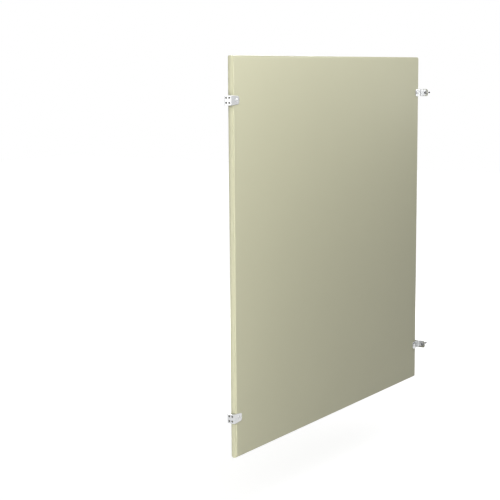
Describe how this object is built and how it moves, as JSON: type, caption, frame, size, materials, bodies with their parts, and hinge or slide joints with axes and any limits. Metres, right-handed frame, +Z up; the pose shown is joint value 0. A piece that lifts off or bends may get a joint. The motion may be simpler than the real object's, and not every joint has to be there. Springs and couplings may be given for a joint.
{
  "type": "bathroom stall partition",
  "caption": "Flush steel stall side panel with crowned mitred edges, wall stirrup brackets at one end and double-ear pilaster brackets at the other.",
  "frame": {"origin": "centre of the lower wall bracket's seat, on the wall's face", "axes": "+X from the wall to the pilaster along the panel, +Y through the panel from its front face to its back face, +Z up"},
  "size_m": [1.5492, 0.1018, 1.4732],
  "materials": {
    "powder_coat": "satin",
    "kraft_paper": "matte",
    "galvanised_steel": "satin",
    "chrome_plate": "polished",
    "black_steel": "satin"
  },
  "bodies": {
    "root": {"face_sheet_front": "powder_coat", "face_sheet_back": "powder_coat", "edge_strip_top": "powder_coat", "edge_strip_bottom": "powder_coat", "edge_strip_wall": "powder_coat", "edge_strip_pilaster": "powder_coat", "honeycomb_core": "kraft_paper", "reinforcement_wall_upper": "galvanised_steel", "reinforcement_wall_lower": "galvanised_steel", "reinforcement_pilaster_upper": "galvanised_steel", "reinforcement_pilaster_lower": "galvanised_steel", "wall_bracket_upper": "chrome_plate", "wall_bracket_lower": "chrome_plate", "pilaster_bracket_upper": "chrome_plate", "pilaster_bracket_lower": "chrome_plate", "barrel_nut_wall_upper": "chrome_plate", "barrel_nut_wall_lower": "chrome_plate", "barrel_nut_pilaster_upper": "chrome_plate", "barrel_nut_pilaster_lower": "chrome_plate", "shoulder_screw_wall_upper": "chrome_plate", "shoulder_screw_wall_lower": "chrome_plate", "shoulder_screw_pilaster_upper": "chrome_plate", "shoulder_screw_pilaster_lower": "chrome_plate", "pilaster_bolt_upper_front": "black_steel", "pilaster_bolt_upper_back": "black_steel", "pilaster_bolt_lower_front": "black_steel", "pilaster_bolt_lower_back": "black_steel"}
  },
  "joints": []
}
